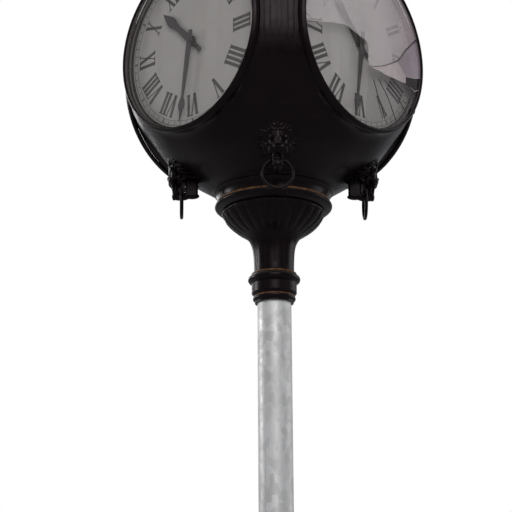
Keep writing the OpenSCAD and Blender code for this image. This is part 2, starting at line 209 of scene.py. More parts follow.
def mat_glass(name, dirt_and_reflection_film, alpha, reflection_tint=None, gloss=0.16):
    """Clear pane with a thin coloured layer: dirt on the whole panes, and painted reflections on the cracked shards,
    light or dark per shard; colour where the layer is, clear between, gloss from the shader.
    """
    m, nt, p = mat_new(name); t = NT(nt)
    n = t.noise(7, 5, 0.65, vec=t.scaled((1, 1, 0.55))); n2 = t.noise(60, 3, 0.6)
    base = t.ramp(n, [(0.25, tuple(c * 0.8 for c in dirt_and_reflection_film)), (0.75, tuple(min(1, c * 1.15) for c in dirt_and_reflection_film))])
    # painted reflection: a lilac tint graded across the shard along x
    if reflection_tint is not None:
        sx = t.node("ShaderNodeSeparateXYZ"); t.link(t.coord(), sx.inputs[0])
        base = t.mix(t.math("MULTIPLY", t.rng(sx.outputs[0], 0.0, 0.22, 0, 1), t.rng(n, 0.3, 0.6, 0.4, 1)), base, reflection_tint)
    t.link(base, p.inputs["Base Color"])
    a = t.math("ADD", t.rng(n, 0.25, 0.75, alpha * 0.8, alpha * 1.15), t.rng(n2, 0.55, 0.8, 0, 0.03))
    t.link(a, p.inputs["Alpha"])
    t.link(t.rng(n2, 0.3, 0.7, 0.08, 0.18), p.inputs["Roughness"])
    p.inputs["IOR"].default_value = 1.45
    p.inputs["Specular IOR Level"].default_value = gloss
    t.link(t.bump(t.noise(5, 2, 0.5), 0.04, 0.003), p.inputs["Normal"])
    return m

PAINT = mat_paint()
GOLD = mat_gold()
POLE = mat_pole()
DIAL = mat_dial("opal_dial")
# painted light: the south dial gets a lighter, cooler copy of the same opal tone, as if more brightly lit than the
# other three
DIAL_S_LIT = mat_dial("opal_dial_s_lit", (0.36, 0.342, 0.330))
INK = mat_enamel("numeral_ink", (0.030, 0.026, 0.024), (0.085, 0.075, 0.068), (0.45, 0.65))
HAND = mat_enamel("hand_paint", (0.011, 0.0085, 0.009), (0.026, 0.020, 0.020), (0.5, 0.7))
BRASS = mat_metal("brass", (0.60, 0.42, 0.16))
STEEL = mat_metal("steel", (0.52, 0.52, 0.52), (0.3, 0.5))
DARKSTEEL = mat_enamel("motor_casing", (0.05, 0.055, 0.06), (0.10, 0.10, 0.10))
BOXP = mat_enamel("box_paint", (0.085, 0.09, 0.095), (0.14, 0.14, 0.14))
LED = mat_enamel("led_board", (0.75, 0.73, 0.66), (0.60, 0.58, 0.50))
RUBBER = mat_rubber()
GLASS = mat_glass("clear_glass", (0.30, 0.285, 0.27), 0.07)
REVEAL = mat_enamel("reveal_paint", (0.135, 0.112, 0.113), (0.085, 0.068, 0.066), (0.5, 0.65))

# ------------------------------------------------------------------ mesh helpers
FACE = {s: Matrix.Translation((0, 0, H)) @ Matrix.Rotation(math.radians(90 * i), 4, "Z") @ Matrix.Rotation(math.radians(90), 4, "X")
        for i, s in enumerate(SIDES)}
CORNER = {c: Matrix.Translation((0, 0, H)) @ Matrix.Rotation(math.radians(225 + 90 * i), 4, "Z") for i, c in enumerate(["sw", "se", "ne", "nw"])}
ZH = Matrix.Translation((0, 0, H))

def make(name, verts, faces, mats, body="clock", M=None, idx=None, smooth=True, replaces=(), slot=None, autosmooth=40):
    """Mesh from points in millimetres."""
    me = bpy.data.meshes.new(name)
    v = np.asarray(verts, float) * MM
    if M is not None:
        A = np.array(M); v = v @ A[:3, :3].T + A[:3, 3]
    me.from_pydata(v.tolist(), [], [list(map(int, f)) for f in faces])
    for m in mats: me.materials.append(m)
    if idx is not None: me.polygons.foreach_set("material_index", idx)
    me.validate(); me.update()
    bm = bmesh.new(); bm.from_mesh(me); bmesh.ops.recalc_face_normals(bm, faces=bm.faces)
    if smooth and autosmooth:
        lim = math.radians(autosmooth)
        for f in bm.faces: f.smooth = True
        for e in bm.edges:
            if len(e.link_faces) == 2 and e.calc_face_angle(0) > lim: e.smooth = False
    bm.to_mesh(me); bm.free()
    o = bpy.data.objects.new(name, me); bpy.context.scene.collection.objects.link(o)
    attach(o, body)
    if replaces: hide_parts(*replaces)
    return o

def smooth_profile(pts, step=2.5):
    """Catmull-Rom through (r, z[, tag]) points; a point with tag 'c' is a sharp corner, 'g' starts a gold span."""
    out = []
    n = len(pts)
    P = [np.array(p[:2], float) for p in pts]
    T = [p[2] if len(p) > 2 else "" for p in pts]
    for i in range(n - 1):
        p1, p2 = P[i], P[i + 1]
        p0 = P[i - 1] if i > 0 and "c" not in T[i] else 2 * p1 - p2
        p3 = P[i + 2] if i + 2 < n and "c" not in T[i + 1] else 2 * p2 - p1
        k = max(1, int(np.linalg.norm(p2 - p1) / step))
        d01, d12, d23 = (max(1e-6, np.linalg.norm(b - a)) ** 0.5 for a, b in ((p0, p1), (p1, p2), (p2, p3)))
        for j in range(k):
            t = j / k
            m1 = (p2 - p1) + d12 * ((p1 - p0) / d01 - (p2 - p0) / (d01 + d12))
            m2 = (p2 - p1) + d12 * ((p3 - p2) / d23 - (p3 - p1) / (d12 + d23))
            q = (2 * t**3 - 3 * t**2 + 1) * p1 + (t**3 - 2 * t**2 + t) * m1 + (-2 * t**3 + 3 * t**2) * p2 + (t**3 - t**2) * m2
            out.append((max(0.0, q[0]), q[1], "g" in T[i]))
    out.append((P[-1][0], P[-1][1], False))
    return out

def lathe_data(prof, segs=144, mod=None, closed=False):
    """Rings round local z. mod(r, z, angles) returns radii."""
    ang = np.arange(segs) * 2 * math.pi / segs
    verts, rows = [], []
    for (r, z, g) in prof:
        if r < 1e-6:
            rows.append([len(verts)]); verts.append((0, 0, z)); continue
        rr = mod(r, z, ang) if mod else np.full(segs, r)
        rows.append(list(range(len(verts), len(verts) + segs)))
        verts += [(a * math.cos(b), a * math.sin(b), z) for a, b in zip(rr, ang)]
    faces, idx = [], []
    pairs = list(range(len(rows) - 1)) + ([len(rows) - 1] if closed else [])
    for i in pairs:
        a, b = rows[i], rows[(i + 1) % len(rows)]
        for j in range(segs):
            k = (j + 1) % segs
            if len(a) == 1 and len(b) == 1: continue
            if len(a) == 1: f = (a[0], b[k], b[j])
            elif len(b) == 1: f = (a[j], a[k], b[0])
            else: f = (a[j], a[k], b[k], b[j])
            faces.append(f); idx.append(1 if prof[i][2] else 0)
    return verts, faces, idx

def lathe(name, pts, body="clock", M=None, segs=144, step=2.5, mod=None, closed=False, mats=None, **k):
    v, f, idx = lathe_data(smooth_profile(pts, step), segs, mod, closed)
    return make(name, v, f, mats or [PAINT, GOLD], body, M, idx, **k)

class Build:
    """Collects parts of one mesh."""
    def __init__(self): self.v, self.f, self.i = [], [], []
    def add(self, verts, faces, idx=0, M=None):
        b = len(self.v)
        if M is not None:
            A = np.array(M); verts = (np.asarray(verts, float) @ A[:3, :3].T + A[:3, 3]).tolist()
        self.v += [tuple(p) for p in verts]; self.f += [tuple(b + q for q in f) for f in faces]
        self.i += list(idx) if hasattr(idx, "__len__") else [idx] * len(faces)
    def prism(self, outline, z0, z1, bevel=0.0, idx=0, M=None):
        """Extruded outline (x, y), counter-clockwise, with a chamfer on its front edge."""
        n = len(outline); o = np.array(outline, float)
        rings = [np.c_[o, np.full(n, z0)]]
        if bevel > 0:
            nxt, prv = np.roll(o, -1, 0), np.roll(o, 1, 0)
            e1 = o - prv; e2 = nxt - o
            n1 = np.c_[e1[:, 1], -e1[:, 0]]; n2 = np.c_[e2[:, 1], -e2[:, 0]]
            n1 /= np.maximum(1e-9, np.linalg.norm(n1, axis=1))[:, None]; n2 /= np.maximum(1e-9, np.linalg.norm(n2, axis=1))[:, None]
            m = n1 + n2; L = np.maximum(0.7, np.linalg.norm(m, axis=1)); m = m / (L**2)[:, None] * 2
            rings.append(np.c_[o, np.full(n, z1 - bevel)])
            rings.append(np.c_[o - m * bevel, np.full(n, z1)])
        else: rings.append(np.c_[o, np.full(n, z1)])
        v = np.concatenate(rings).tolist(); f = []
        for r in range(len(rings) - 1):
            for j in range(n):
                k = (j + 1) % n
                f.append((r * n + j, r * n + k, (r + 1) * n + k, (r + 1) * n + j))
        f.append(tuple(range(n - 1, -1, -1))); f.append(tuple((len(rings) - 1) * n + j for j in range(n)))
        self.add(v, f, idx, M)
    def make(self, name, mats, body="clock", M=None, **k):
        return make(name, self.v, self.f, mats, body, M, self.i, **k)

def circle_pts(r, n=32, a0=0, a1=360):
    return [(r * math.cos(math.radians(a0 + (a1 - a0) * i / n)), r * math.sin(math.radians(a0 + (a1 - a0) * i / n))) for i in range(n)]

# ------------------------------------------------------------------ case
GP = [(-417, 188), (-409, 194), (-400, 210), (-390, 226), (-376, 248), (-359, 275), (-335, 310), (-303, 342), (-265, 373), (-222, 403), (-182, 432), (-147, 452), (-105, 468), (-57, 477),
      (0, 480), (57, 477), (105, 468), (147, 452), (182, 432), (222, 404), (267, 378), (303, 355), (338, 328), (376, 300), (400, 282), (410, 274), (417, 262)]
_gs = smooth_profile([(r, z) for z, r in GP], 2.0)
_z = np.array([q[1] for q in _gs]); _r = np.array([q[0] for q in _gs]) - 0.5
def globe_r(z):
    return np.interp(z, _z, _r)

def build_case():
    B = Build()
    # columns are close together on the reeded corners and wider apart between them
    one = np.concatenate([np.arange(-45, -15.5, 1.0), np.arange(-15.5, 15.5, 0.25), np.arange(15.5, 45, 1.0)])
    ang = np.radians(np.concatenate([one + 45 + 90 * c for c in range(4)])); segs = len(ang)
    zs = np.concatenate([[-416.8], np.linspace(-413, 413, 237), [416.8]])
    reed = np.zeros(segs)
    for c in range(4):
        d = (np.degrees(ang) - (45 + 90 * c) + 180) % 360 - 180
        w = np.clip(1 - (np.abs(d) / 13.2) ** 10, 0, 1)
        reed = np.maximum(reed, w * np.abs(np.cos(np.radians(d) * 180 / 2.4)) ** 0.6)
    V = np.zeros((len(zs), segs, 3))
    for i, z in enumerate(zs):
        r = float(globe_r(z)) if abs(z) < 416 else (187.0 if z < 0 else 262.0)
        # vertical reeds on each corner, dying into the globe above and below
        fade = np.clip(1 - (abs(z) / 78.0) ** 4, 0, 1)
        rr = r + reed * fade * 1.1
        V[i, :, 0] = rr * np.cos(ang); V[i, :, 1] = rr * np.sin(ang); V[i, :, 2] = z
    x, y, z = V[..., 0], V[..., 1], V[..., 2]
    inner = (np.hypot(x, z) < 294.0) | (np.hypot(y, z) < 294.0)
    F = []
    n = segs
    for i in range(len(zs) - 1):
        for j in range(n):
            k = (j + 1) % n
            if inner[i, j] or inner[i, k] or inner[i + 1, j] or inner[i + 1, k]: continue
            F.append((i * n + j, i * n + k, (i + 1) * n + k, (i + 1) * n + j))
    used = np.unique(np.array(F).ravel()); remap = -np.ones(len(zs) * n, int); remap[used] = np.arange(len(used))
    B.add(V.reshape(-1, 3)[used].tolist(), remap[np.array(F)].tolist())
    # floor and crown plates
    for s in (-1, 1):
        o = 187.0 if s < 0 else 262.0; i0 = 60 if s < 0 else 196
        prof = [(o, 416.8 * s, False), (o - 7, 417 * s, False), (i0, 417 * s, False), (i0, 408 * s, False)]
        v, f, i_ = lathe_data(prof, 180); B.add(v, f, i_)
    # drums: turned rim with a raised bead, and the cast fillet that grows out of the globe
    R90 = Matrix.Rotation(math.radians(90), 4, "X")
    rim = smooth_profile([(285.7, 350, "cg"), (285.7, 378.6, "c"), (287.0, 380.4, "c"), (293.0, 380.4, "c"), (294.8, 379.2), (295.2, 376.5), (294.8, 374, "c"), (294.6, 372), (294.6, 320)], 3)
    rv, rf, ri = lathe_data(rim, 240)
    for i in range(4):
        Mf = Matrix.Rotation(math.radians(90 * i), 4, "Z") @ R90
        B.add(rv, rf, ri, Mf)
        n = 240; W = 15.0; rows = []
        th = np.arange(n) * 2 * math.pi / n
        for s in np.concatenate([[-3.0], np.linspace(0, 1, 11) ** 1.5 * W, [W + 3]]):
            r = 294.5 + max(s, 0.0)
            px, py = r * np.cos(th), r * np.sin(th)
            L = np.sqrt(np.maximum(1, globe_r(py) ** 2 - px**2))
            h = W - math.sqrt(max(0, W * W - (W - min(max(s, 0), W)) ** 2))
            L = L + h + (0.25 if s <= W else -0.8)
            rows.append(np.c_[px, py, np.minimum(L, 378.9)])
        f = [(a * n + j, a * n + (j + 1) % n, (a + 1) * n + (j + 1) % n, (a + 1) * n + j) for a in range(len(rows) - 1) for j in range(n)]
        B.add(np.concatenate(rows).tolist(), f, 0, Mf)
        # hinge knuckles on the crown of the drum
        for sgn in (-1, 1):
            for o in (36, 64):
                cx = sgn * o
                # outline in (v, L): barrel with a foot that runs back onto the drum
                out = [(286, 356.6), (315.4, 360.6)] + [(309.4 + 6.9 * math.cos(math.radians(a)), 386.65 + 6.9 * math.sin(math.radians(a))) for a in range(-20, 181, 16)] + [(302.6, 380.6), (294, 380.1), (286, 379.8)]
                b2 = Build(); b2.prism([(p[0], p[1]) for p in out], -5.5, 5.5)
                A = Matrix(((0, 0, 1, cx), (1, 0, 0, 0), (0, 1, 0, 0), (0, 0, 0, 1)))
                B.add(b2.v, b2.f, 0, Mf @ A)
    o = B.make("case_shell", [PAINT, REVEAL], M=ZH, replaces=["head_case"], slot="black_paint")
    return o
build_case()

# ------------------------------------------------------------------ bezels, seals, glass
def bezel(s):
    B = Build()
    prof = smooth_profile([(286, 398.5, "c"), (286, 400.4), (287.0, 402.4), (289.6, 403.5), (292.4, 403.0), (294.0, 401.4, "c"), (294.6, 400.2), (296.4, 398.4),
                           (298.4, 396.4, "c"), (299.8, 393.6), (300.4, 390), (300.2, 384), (299.2, 381.1, "c"), (293.5, 381.1, "c"), (293.5, 398.5, "cg"), (286, 398.5)], 1.6)
    v, f, i = lathe_data(prof[:-1], 240, closed=True); B.add(v, f, i)
    for cx in (-50, 50):
        out = [(294.6, 381.2), (309.4, 379.9)] + [(309.4 + 6.9 * math.cos(math.radians(a)), 386.65 + 6.9 * math.sin(math.radians(a))) for a in range(-70, 111, 15)] + [(303.5, 393.4), (298, 395.0), (294.6, 394.4)]
        b2 = Build(); b2.prism([(p[0], p[1]) for p in out], -7.8, 7.8)
        A = Matrix(((0, 0, 1, cx), (1, 0, 0, 0), (0, 1, 0, 0), (0, 0, 0, 1)))
        B.add(b2.v, b2.f, 0, A)
    return B.make("bezel_rim_" + s, [PAINT, REVEAL], "bezel_door_" + s, FACE[s], replaces=["bezel_" + s], slot="black_paint")
for s in SIDES:
    bezel(s)
    lathe("glazing_rubber_" + s, [(286.6, 388.4, "c"), (286.1, 389.8), (286.2, 391.2, "c"), (286.2, 398.2, "c"), (293.2, 398.2, "c"), (293.2, 388.4, "c"), (286.6, 388.4)],
          "bezel_door_" + s, FACE[s], 192, 2, closed=False, mats=[RUBBER, RUBBER], replaces=["glazing_seal_" + s], slot="seal_rubber")
    if s != "s":
        lathe("glass_pane_" + s, [(0, 391.4, "c"), (150, 391.4, "c"), (286, 391.4, "c"), (290.2, 391.4, "c"), (290.9, 392.0, "c"), (290.9, 394.5, "c"), (290.2, 395.1, "c"), (286, 395.1, "c"), (150, 395.1, "c"), (0, 395.1)],
              "bezel_door_" + s, FACE[s], 192, 30, mats=[GLASS, GLASS], replaces=["glass_" + s], slot="clear_glass")

# cracked pane on the south face: shards cut along the fracture lines (millimetres from the dial centre)
def rim_arc(a0, a1, r, n=24):
    return [(r * math.sin(math.radians(a0 + (a1 - a0) * i / n)), r * math.cos(math.radians(a0 + (a1 - a0) * i / n))) for i in range(n + 1)]
def cracked():
    rr = 290.4
    def onrim(x, y):
        k = rr / math.hypot(x, y); return (x * k, y * k)
    def jag(pts, amp, seed, step=22.0):
        rnd = random.Random(seed); out = []
        for p, q in zip(pts[:-1], pts[1:]):
            dx, dy = q[0] - p[0], q[1] - p[1]; L = math.hypot(dx, dy); n = max(1, int(L / step))
            for i in range(n):
                t = i / n; o = 0 if i == 0 else rnd.uniform(-amp, amp)
                out.append((p[0] + dx * t - dy / L * o, p[1] + dy * t + dx / L * o))
        return out + [pts[-1]]
    J, K, Q, Wp = (22, -79), (165, -17), (209, -57), (207, -81)
    rL, rR, rQ, rE, rB = onrim(-289, -27), onrim(276, 94), onrim(288, -38), onrim(196, -214), onrim(-8, -290)
    bound = jag([rL, (-263, -19), (-201, -2), (-141, 14), (-90, 24), (-53, 18), (-20, 9), (14, 3), (21, -24), (16, -56), J], 1.0, 1)
    c1 = jag([J, (79, -61), (129, -37), K], 1.4, 4); c2 = jag([K, (186, 3), (214, 38), (241, 63), rR], 1.6, 5)
    KQ = jag([K, Q], 1.5, 6); Qr = jag([Q, (260, -48), rQ], 1.6, 7); QW = [Q, Wp]
    JW = jag([J, (127, -83), Wp], 1.6, 8); WE = jag([Wp, (247, -99), (261, -122), (248, -173), (212, -198), rE], 2.0, 9, 14.0)
    JB = jag([J, (12, -160), rB], 1.6, 10)
    def arc(p, q):  # clockwise along the rim from p to q
        a = math.degrees(math.atan2(*p)) % 360; b = math.degrees(math.atan2(*q)) % 360
        if b < a: b += 360
        return rim_arc(a, b, rr, max(6, int((b - a) / 3)))
    shards = {"A": arc(rL, rR) + c2[::-1] + c1[::-1] + bound[::-1], "B": arc(rB, rL) + bound + JB,
              "C": arc(rE, rB) + JB[::-1] + JW + WE, "D": c2 + arc(rR, rQ) + Qr[::-1] + KQ[::-1],
              "E": QW[::-1] + Qr + arc(rQ, rE) + WE[::-1], "F": c1 + KQ + QW + JW[::-1]}
    # painted reflections: each shard's layer colour and alpha stand in for the sky or trees it reflects, light and
    # pinkish on A, D and F, dark on E; B and C carry only a faint layer
    shard_dirt_and_reflections = {"A": ((0.70, 0.645, 0.645), 0.28, (0.60, 0.485, 0.52)), "B": ((0.15, 0.145, 0.12), 0.05, None), "C": ((0.17, 0.155, 0.155), 0.16, None),
             "D": ((0.30, 0.24, 0.275), 0.72, None), "E": ((0.020, 0.016, 0.016), 0.88, None, 0.06), "F": ((0.50, 0.425, 0.43), 0.66, None)}
    tilt = {"A": (0.10, -0.05), "B": (-0.25, 0.15), "C": (0.2, 0.25), "D": (0.3, -0.3), "E": (-0.5, -0.5), "F": (0.35, 0.1)}
    mats, B = [], Build()
    for k, (name, poly) in enumerate(shards.items()):
        pts = [p for i, p in enumerate(poly) if math.hypot(p[0] - poly[i - 1][0], p[1] - poly[i - 1][1]) > 0.4]
        area = sum(pts[i - 1][0] * pts[i][1] - pts[i][0] * pts[i - 1][1] for i in range(len(pts)))
        if area < 0: pts = pts[::-1]
        c = np.mean(pts, axis=0)
        inset = []
        for i, p in enumerate(pts):
            q0, q1 = pts[i - 1], pts[(i + 1) % len(pts)]
            t = np.array(q1) - np.array(q0); nrm = np.array([-t[1], t[0]]) / (np.linalg.norm(t) + 1e-9)
            inset.append(tuple(np.array(p) + nrm * 0.5))
        mats.append(mat_glass("glass_shard_" + name, *shard_dirt_and_reflections[name]))
        tx, ty = (math.radians(x) for x in tilt[name])
        b2 = Build(); b2.prism(inset, 391.9, 394.6, 0.35)
        v = [(x, y, z + max(-0.45, min(0.45, (x - c[0]) * tx * 0.3 + (y - c[1]) * ty * 0.3))) for x, y, z in b2.v]
        B.add(v, b2.f, k)
    B.make("glass_cracked_s", mats, "bezel_door_s", FACE["s"], replaces=["glass_s"], slot="clear_glass", autosmooth=20)
    # dark strips along the open fracture lines, and painted highlights along the tight ones: bright strips standing in
    # for light caught on the broken edges
    G, EdgeGlints = Build(), Build()
    grime = mat_enamel("crack_grime", (0.022, 0.017, 0.015), (0.05, 0.042, 0.038), (0.6, 0.8))
    # painted highlight colour for the broken glass edges
    edge = mat_enamel("crack_edge_glint", (0.42, 0.40, 0.38), (0.30, 0.28, 0.27), (0.25, 0.4))
    def strip(G, line, w0, w1):
        pts = [np.array(p) for p in line]; L, Rr = [], []
        for i, p in enumerate(pts):
            t = pts[min(i + 1, len(pts) - 1)] - pts[max(i - 1, 0)]; nn = np.array([-t[1], t[0]]) / (np.linalg.norm(t) + 1e-9)
            w = w0 + (w1 - w0) * i / (len(pts) - 1); L.append(p + nn * w / 2); Rr.append(p - nn * w / 2)
        G.prism([tuple(q) for q in Rr] + [tuple(q) for q in L[::-1]], 392.3, 395.1)
    strip(G, c1, 0.9, 3.0); strip(G, c2, 3.0, 5.2); strip(G, WE, 0.8, 1.4)
    # painted highlight strips along the tight cracks
    strip(EdgeGlints, bound[:-9], 1.0, 1.6); strip(EdgeGlints, KQ, 0.7, 0.9); strip(EdgeGlints, Qr, 0.9, 1.6); strip(EdgeGlints, JW, 0.8, 0.8)
    strip(EdgeGlints, [(228, -88), (252, -96), (276, -84)], 0.5, 1.8)
    for q in ([(40, -118), (62, -170), (92, -236)], [(66, -108), (112, -160), (150, -226)], [(98, -104), (150, -132), (196, -176)]): strip(G, jag(q, 1.2, 12), 0.4, 0.9)
    G.make("crack_lines_s", [grime], "bezel_door_s", FACE["s"], smooth=False, slot="clear_glass")
    EdgeGlints.make("crack_edge_glints_s", [edge], "bezel_door_s", FACE["s"], smooth=False, slot="clear_glass")
cracked()

# ------------------------------------------------------------------ dials
def stroke(B, x0, y0, x1, y1, w, z0=368.25, z1=368.75, flat=True):
    """A stroke between two heights whose ends are cut level."""
    if abs(y1 - y0) > 1e-6 and flat:
        B.prism([(x0 - w / 2, y0), (x0 + w / 2, y0), (x1 + w / 2, y1), (x1 - w / 2, y1)] if y1 > y0 else [(x1 - w / 2, y1), (x1 + w / 2, y1), (x0 + w / 2, y0), (x0 - w / 2, y0)], z0, z1)
    else: B.prism([(min(x0, x1), y0 - w / 2), (max(x0, x1), y0 - w / 2), (max(x0, x1), y0 + w / 2), (min(x0, x1), y0 + w / 2)], z0, z1)
NUM = ["XII", "I", "II", "III", "IIII", "V", "VI", "VII", "VIII", "IX", "X", "XI"]
def numerals(B):
    h, thick, thin, ser = 72.0, 10.5, 3.6, 3.0
    wid = {"I": 16.5, "V": 36.0, "X": 38.0}
    for k, txt in enumerate(NUM):
        total = sum(wid[c] for c in txt); x = -total / 2
        b = Build()
        for c in txt:
            cx = x + wid[c] / 2; y0, y1 = 704 * 0.3 - h / 2, 704 * 0.3 + h / 2
            if c == "I":
                stroke(b, cx, y0, cx, y1, thick); stroke(b, cx - 7.6, y0 + ser / 2, cx + 7.6, 0, ser, flat=False); stroke(b, cx - 7.6, y1 - ser / 2, cx + 7.6, 0, ser, flat=False)
            elif c == "V":
                stroke(b, cx + 0.5, y0, cx - 11, y1, thick); stroke(b, cx + 1.5, y0, cx + 12, y1, thin)
                stroke(b, cx - 17.5, y1 - ser / 2, cx - 3.5, 0, ser, flat=False); stroke(b, cx + 7, y1 - ser / 2, cx + 17.5, 0, ser, flat=False)
            else:
                stroke(b, cx + 11, y0, cx - 11, y1, thick); stroke(b, cx - 12, y0, cx + 12, y1, thin)
                for sx, yy in ((-11.5, y1), (11.5, y1), (-11.5, y0), (11.5, y0)):
                    stroke(b, cx + sx - 6.8, yy - (ser / 2 if yy == y1 else -ser / 2), cx + sx + 6.8, 0, ser, flat=False)
            x += wid[c]
        A = Matrix.Rotation(math.radians(-30 * k), 4, "Z")
        B.add(b.v, b.f, 0, A)
def minute_track(B):
    z0, z1 = 368.25, 368.65
    for k in range(60):
        a = math.radians(-6 * k); w, r0, r1 = (4.6, 257, 271) if k % 5 == 0 else (2.0, 260, 271)
        b = Build(); b.prism([(-w / 2, r0), (w / 2, r0), (w / 2, r1), (-w / 2, r1)], z0, z1)
        B.add(b.v, b.f, 0, Matrix.Rotation(a, 4, "Z"))
    for r, w in ((272.0, 1.6), (257.0, 1.2)):
        v, f, i = lathe_data([(r - w / 2, z0, 0), (r - w / 2, z1, 0), (r + w / 2, z1, 0), (r + w / 2, z0, 0)], 180, closed=True)
        B.add(v, f, 0)
# the south face takes the lighter copy of the dial, with its painted light
DM = {"s": DIAL_S_LIT}
for s in SIDES:
    lathe("dial_face_" + s, [(13.2, 364.6, "c"), (13.2, 368.2, "c"), (60, 368.2, "c"), (150, 368.2, "c"), (240, 368.2, "c"), (284.4, 368.2, "c"), (284.4, 364.6, "c"), (13.2, 364.6)],
          "clock", FACE[s], 180, 30, mats=[DM.get(s, DIAL), INK], slot="opal_dial", replaces=["dial_plates"])
    B = Build(); numerals(B); minute_track(B)
    B.make("numerals_" + s, [INK], "clock", FACE[s], smooth=False, slot="hand_paint")
    lathe("dial_retainer_" + s, [(277.8, 368.3, "c"), (277.8, 371.5), (279.0, 373.0), (282.0, 373.2), (285.2, 372.4, "c"), (285.2, 368.3, "c"), (277.8, 368.3)], "clock", FACE[s], 192, 1.5,
          replaces=["dial_rings"], slot="black_paint")

# ------------------------------------------------------------------ hands
def blade(v):
    return [(-w, y) for y, w in v][::-1] if False else [(w, y) for y, w in v] + [(-w, y) for y, w in v[::-1]]
def dense(v, k=6):
    """Smooth half-outline (height, half width)."""
    p = smooth_profile([(w, y) + ((t,) if t else ()) for y, w, t in [(a[0], a[1], a[2] if len(a) > 2 else "") for a in v]], 4)
    return [(q[1], max(0.25, q[0])) for q in p]
def outline(v):
    d = dense(v); return [(w, y) for y, w in d] + [(-w, y) for y, w in d[::-1]]
MIN = [(-36, 3.0, "c"), (-35, 5.6), (-31, 8.0), (-16, 9.4), (0, 10.3), (40, 10.8), (110, 8.3), (160, 6.2), (184, 4.9, "c"), (188, 6.0), (197, 10.2), (205, 13.4), (212, 14.2), (221, 11.4), (231, 7.0), (244, 3.8), (264.5, 0.5)]
HRS = [(-58, 2.6, "c"), (-56.5, 5.0), (-51, 7.4), (-38, 7.0), (-18, 8.6), (0, 11.8), (40, 11.6), (72, 10.4), (92, 10.2), (106, 12.4), (119, 15.6), (130, 16.8), (141, 15.4), (153, 11.6), (165, 7.2), (176, 3.6), (186.5, 0.6)]
def hand(name, prof, ang, z0, z1, hub, hz, body, node):
    B = Build()
    o = outline(prof)
    area = sum(o[i - 1][0] * o[i][1] - o[i][0] * o[i - 1][1] for i in range(len(o)))
    if area < 0: o = o[::-1]
    B.prism(o, z0, z1, 0.7)
    # turned boss
    v, f, i = lathe_data(smooth_profile([(hub * 0.4, hz[0], "c"), (hub - 1, hz[0], "c"), (hub, hz[0] + 1, "c"), (hub, hz[1] - 1.6), (hub - 1.4, hz[1] - 0.4), (hub * 0.4, hz[1], "c"), (hub * 0.4, hz[0])], 1.0), 64)
    B.add(v, f, 0)
    M = FACE[body[-1]] @ Matrix.Rotation(math.radians(-ang), 4, "Z")
    return B.make(name, [HAND], body, M, replaces=[node], slot="hand_paint", autosmooth=30)
for s in SIDES:
    hand("minute_hand_blade_" + s, MIN, 189, 385.0, 387.5, 13, (383.6, 389.0), "minutes_" + s, "minute_hand_" + s)
    hand("hour_hand_blade_" + s, HRS, 315.75, 375.0, 377.5, 18, (374.1, 379.0), "hours_" + s, "hour_hand_" + s)
    # domed nut on the arbor
    lathe("hand_nut_" + s, [(4.0, 388.9, "c"), (7.2, 388.9, "c"), (7.4, 389.5), (6.4, 390.2), (4.0, 390.7), (0, 390.85)], "minutes_" + s, FACE[s], 40, 1.0, mats=[HAND, HAND], slot="hand_paint")

# ------------------------------------------------------------------ mouldings under the case
def gad(n, depth, z0, z1):
    """Gadroons: n rounded lobes cut back between z0 and z1."""
    def f(r, z, a):
        w = max(0.0, 1 - abs((z - (z0 + z1) / 2) / ((z0 - z1) / 2)) ** 4)
        lobe = np.abs(np.cos(a * n / 2)) ** 0.55
        return r - depth * w * (1 - lobe)
    return f
lathe("support_ring_cast", [(150, -417.3, "c"), (193.4, -417.3, "c"), (192.6, -418.6), (188.8, -421.4), (185.6, -426), (183.6, -431), (182.2, -438), (181.6, -444.6, "c"), (181.8, -447.4, "cg"), (184.0, -449.4, "g"), (185.0, -451.6, "g"),
      (183.8, -454.2, "c"), (185.2, -455.2), (188.0, -457.4), (189.8, -460.6), (189.8, -464.6), (188.0, -468.4), (183.4, -472.4), (175, -476.6), (168, -479.2, "c"), (150, -480, "c"), (150, -417.3)],
      "clock", ZH, 192, 1.6, replaces=["support_ring"], slot="black_paint")
def bowl_mod(r, z, a):
    r0 = np.full(len(a), r)
    w = max(0.0, 1 - abs((z + 522) / 38.0) ** 4)
    lobe = np.abs(np.cos(a * 12)) ** 0.5
    r0 = r0 - 5.2 * w * (1 - lobe)
    # long shallow facets up the neck
    w2 = max(0.0, 1 - abs((z + 626) / 46.0) ** 6)
    r0 = r0 - 1.5 * w2 * (1 - np.abs(np.cos(a * 6)) ** 0.8)
    return r0
lathe("neck_cast", [(120, -480.4, "c"), (163.0, -480.4, "c"), (165.8, -483), (166.8, -487.5), (165.4, -491.5), (162.6, -494.0, "c"), (161.6, -496.5), (160, -500), (154.5, -510), (144, -522.5), (130, -535.5), (114.5, -547.0), (100, -556), (88.4, -564.2), (79.8, -574.5),
      (73.4, -588), (69.2, -604), (66.8, -622), (65.4, -645), (64.4, -668), (64.2, -681.6, "c"), (56, -682.8, "c"), (56, -600, "c"), (96, -540, "c"), (120, -500, "c"), (120, -480.4)],
      "clock", ZH, 288, 2.2, mod=bowl_mod, replaces=["neck_casting"], slot="black_paint")
